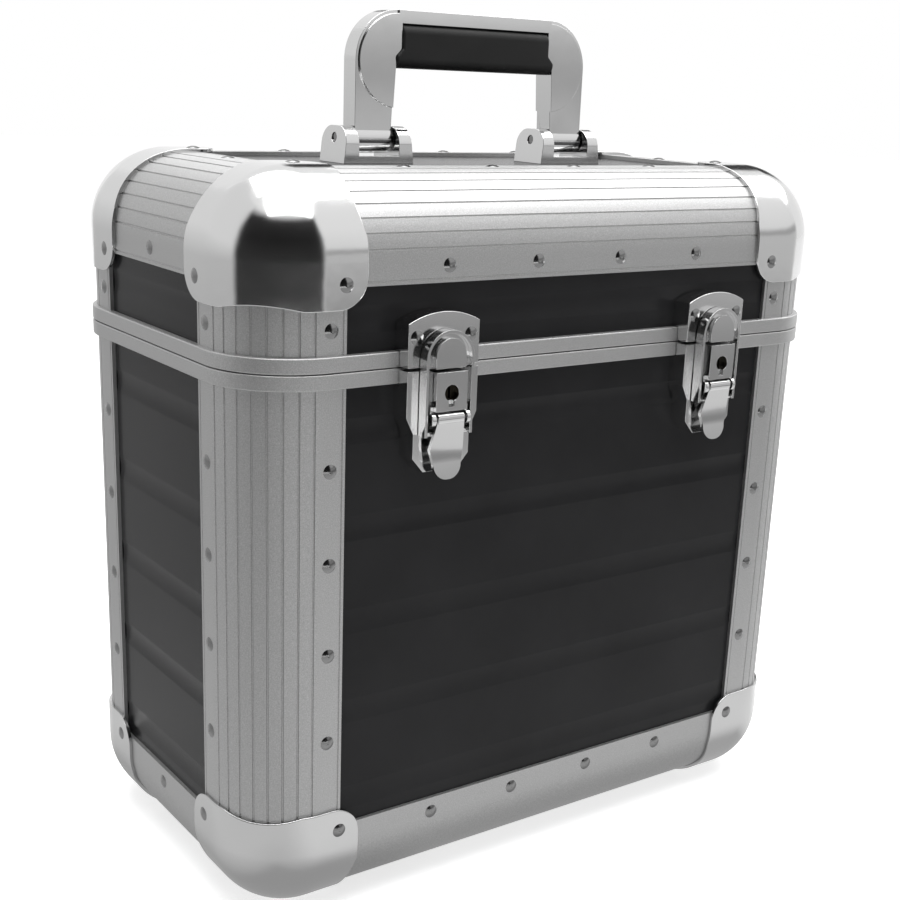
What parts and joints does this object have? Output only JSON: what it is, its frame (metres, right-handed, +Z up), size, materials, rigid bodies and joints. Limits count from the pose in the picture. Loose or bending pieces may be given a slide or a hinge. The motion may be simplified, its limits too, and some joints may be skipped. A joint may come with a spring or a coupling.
{
  "type": "record carrying case",
  "caption": "Upright hard carrying case with rounded aluminium edges, ball corners, a hinged lid with a folding handle, and lever latches with key locks.",
  "frame": {"origin": "middle of the footprint at the underside of the ball corners", "axes": "+Z up, +X along the front from left to right, the latches face -Y, the hinges +Y"},
  "size_m": [0.3756, 0.2336, 0.4458],
  "materials": {
    "laminated_board": "black laminate with a fine pebbled surface on plywood",
    "satin_aluminium": "satin extruded, lightly blasted",
    "polished_corner": "polished pressed steel",
    "satin_corner": "satin plated pressed steel",
    "foam_lining": "closed-cell foam with a short nap",
    "rivet_steel": "bright zinc-plated",
    "bright_chrome": "bright chrome plate",
    "black_grip": "matt moulded, soft",
    "lock_brass": "machined"
  },
  "bodies": {
    "base": {"base_front_board": "laminated_board", "base_back_board": "laminated_board", "base_left_board": "laminated_board", "base_right_board": "laminated_board", "base_floor_board": "laminated_board", "base_front_left_profile": "satin_aluminium", "base_front_right_profile": "satin_aluminium", "base_back_right_profile": "satin_aluminium", "base_back_left_profile": "satin_aluminium", "base_bottom_front_profile": "satin_aluminium", "base_bottom_back_profile": "satin_aluminium", "base_bottom_left_profile": "satin_aluminium", "base_bottom_right_profile": "satin_aluminium", "base_front_left_ball_corner": "satin_corner", "base_front_right_ball_corner": "satin_corner", "base_back_right_ball_corner": "satin_corner", "base_back_left_ball_corner": "satin_corner", "base_rim": "satin_aluminium", "base_lining": "foam_lining", "base_rivets": "rivet_steel", "hinge_base_leaves": "bright_chrome", "hinge_pins": "rivet_steel", "latch_pins": "rivet_steel", "latch_left_base_plate": "bright_chrome", "latch_right_base_plate": "bright_chrome"},
    "lid": {"lid_front_board": "laminated_board", "lid_back_board": "laminated_board", "lid_left_board": "laminated_board", "lid_right_board": "laminated_board", "lid_top_board": "laminated_board", "lid_front_left_profile": "satin_aluminium", "lid_front_right_profile": "satin_aluminium", "lid_back_right_profile": "satin_aluminium", "lid_back_left_profile": "satin_aluminium", "lid_top_front_profile": "satin_aluminium", "lid_top_back_profile": "satin_aluminium", "lid_top_left_profile": "satin_aluminium", "lid_top_right_profile": "satin_aluminium", "lid_front_left_ball_corner": "polished_corner", "lid_front_right_ball_corner": "polished_corner", "lid_back_right_ball_corner": "polished_corner", "lid_back_left_ball_corner": "polished_corner", "lid_rim": "satin_aluminium", "lid_lining": "foam_lining", "lid_rivets": "rivet_steel", "hinge_lid_leaves": "bright_chrome", "handle_left_bracket": "bright_chrome", "handle_right_bracket": "bright_chrome", "handle_pins": "rivet_steel", "handle_screws": "rivet_steel", "latch_left_lid_plate": "bright_chrome", "latch_right_lid_plate": "bright_chrome"},
    "handle": {"handle_frame": "bright_chrome", "handle_grip": "black_grip"},
    "latch_left_lever": {"latch_left_lever": "bright_chrome"},
    "latch_left_hood": {"latch_left_hood": "bright_chrome"},
    "latch_left_lock_plug": {"latch_left_lock_plug": "lock_brass"},
    "latch_right_lever": {"latch_right_lever": "bright_chrome"},
    "latch_right_hood": {"latch_right_hood": "bright_chrome"},
    "latch_right_lock_plug": {"latch_right_lock_plug": "lock_brass"}
  },
  "joints": [
    {"name": "lid_hinge", "type": "hinge", "parent": "base", "child": "lid", "pos_m": [0, 0.11335, 0.2838], "axis": [-1, 0, 0], "range_deg": [0, 100]},
    {"name": "handle_fold", "type": "hinge", "parent": "lid", "child": "handle", "pos_m": [0, 0.00445, 0.3823], "axis": [1, 0, 0], "range_deg": [-88, 88]},
    {"name": "latch_left_lever_lift", "type": "hinge", "parent": "base", "child": "latch_left_lever", "pos_m": [-0.0882, -0.11355, 0.2606], "axis": [-1, 0, 0], "range_deg": [0, 100]},
    {"name": "latch_left_hood_swing", "type": "hinge", "parent": "latch_left_lever", "child": "latch_left_hood", "pos_m": [-0.0882, -0.11145, 0.2533], "axis": [-1, 0, 0], "range_deg": [-100, 0]},
    {"name": "latch_left_key_turn", "type": "hinge", "parent": "base", "child": "latch_left_lock_plug", "pos_m": [-0.0882, -0.11315, 0.273], "axis": [0, 1, 0], "range_deg": [0, 90]},
    {"name": "latch_right_lever_lift", "type": "hinge", "parent": "base", "child": "latch_right_lever", "pos_m": [0.0882, -0.11355, 0.2606], "axis": [-1, 0, 0], "range_deg": [0, 100]},
    {"name": "latch_right_hood_swing", "type": "hinge", "parent": "latch_right_lever", "child": "latch_right_hood", "pos_m": [0.0882, -0.11145, 0.2533], "axis": [-1, 0, 0], "range_deg": [-100, 0]},
    {"name": "latch_right_key_turn", "type": "hinge", "parent": "base", "child": "latch_right_lock_plug", "pos_m": [0.0882, -0.11315, 0.273], "axis": [0, 1, 0], "range_deg": [0, 90]}
  ],
  "couplings": [
    {"joint": "latch_left_hood_swing", "follows": "latch_left_lever_lift", "ratio": -1},
    {"joint": "latch_right_hood_swing", "follows": "latch_right_lever_lift", "ratio": -1}
  ]
}
